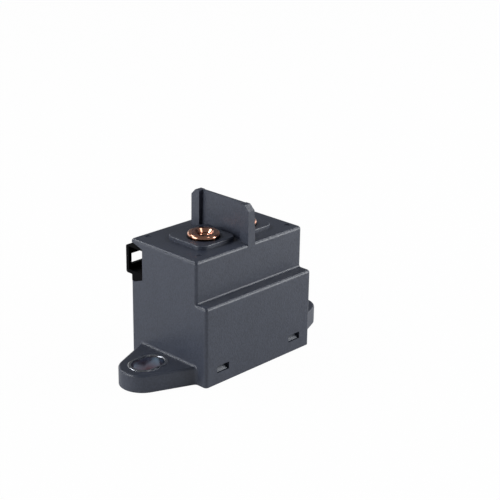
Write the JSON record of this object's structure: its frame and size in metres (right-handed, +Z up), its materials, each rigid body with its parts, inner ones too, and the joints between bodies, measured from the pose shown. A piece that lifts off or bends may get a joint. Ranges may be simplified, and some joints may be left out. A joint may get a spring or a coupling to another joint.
{
  "type": "high voltage dc contactor",
  "caption": "Block-shaped sealed contactor for high voltage direct current, with copper screw terminals, a barrier between them, slotted mounting ears and a coil connector socket.",
  "frame": {"origin": "midway between the mounting slots, on the base plane", "axes": "+Z up along the mounting screws and the armature's travel, +X along the row of the mounting slots and of the terminals, -Y the side with the ledge (front); the coil connector is at -X, +Y"},
  "size_m": [0.0822, 0.0358, 0.052],
  "materials": {
    "housing_plastic": "fine grained dark blue-grey moulding",
    "cover_plastic": "fine grained dark moulding",
    "connector_plastic": "near black moulding",
    "bobbin_plastic": "black moulding",
    "damper_rubber": "plain black rubber",
    "sleeve_steel": "bright plated strip",
    "pin_metal": "tin plated copper alloy",
    "soft_iron": "nickel plated soft iron",
    "can_steel": "drawn non-magnetic sheet",
    "spring_steel": "bright stainless",
    "winding_copper": "enamelled copper wire, taped",
    "terminal_copper": "bare copper, turned",
    "contact_silver": "silver alloy",
    "chamber_ceramic": "white fired alumina, opaque",
    "magnet_ferrite": "sintered ferrite"
  },
  "bodies": {
    "housing": {"housing_cover": "housing_plastic", "base_cover": "cover_plastic", "yoke_cushion": "damper_rubber", "mounting_sleeve_left": "sleeve_steel", "mounting_sleeve_right": "sleeve_steel", "coil_connector": "connector_plastic", "coil_pin_lower": "pin_metal", "coil_pin_upper": "pin_metal", "yoke": "soft_iron", "pole_plate": "soft_iron", "fixed_core": "soft_iron", "plunger_can": "can_steel", "plunger_damper": "damper_rubber", "coil_bobbin": "bobbin_plastic", "coil_winding": "winding_copper", "chamber_flange": "can_steel", "arc_chamber": "chamber_ceramic", "seal_ring_left": "can_steel", "seal_ring_right": "can_steel", "terminal_left": "terminal_copper", "terminal_right": "terminal_copper", "fixed_contact_left": "contact_silver", "fixed_contact_right": "contact_silver", "magnet_left": "magnet_ferrite", "magnet_right": "magnet_ferrite", "magnet_clip": "can_steel", "return_spring": "spring_steel"},
    "armature": {"plunger": "soft_iron", "drive_shaft": "spring_steel", "spring_seat": "spring_steel", "retaining_ring": "spring_steel", "contact_spring": "spring_steel"},
    "bridge": {"contact_bridge": "terminal_copper", "moving_contact_left": "contact_silver", "moving_contact_right": "contact_silver"}
  },
  "joints": [
    {"name": "armature_slide", "type": "slide", "parent": "housing", "child": "armature", "axis": [0, 0, 1], "range_m": [0, 0.002], "stiffness_N_per_m": 500, "springref_m": -0.004, "deforming": ["return_spring"]},
    {"name": "bridge_slide", "type": "slide", "parent": "armature", "child": "bridge", "axis": [0, 0, 1], "range_m": [-0.0004, 0], "stiffness_N_per_m": 500, "springref_m": 0.002, "deforming": ["contact_spring"]}
  ],
  "couplings": [
    {"joint": "bridge_slide", "follows": "armature_slide", "ratio": -0.2}
  ]
}
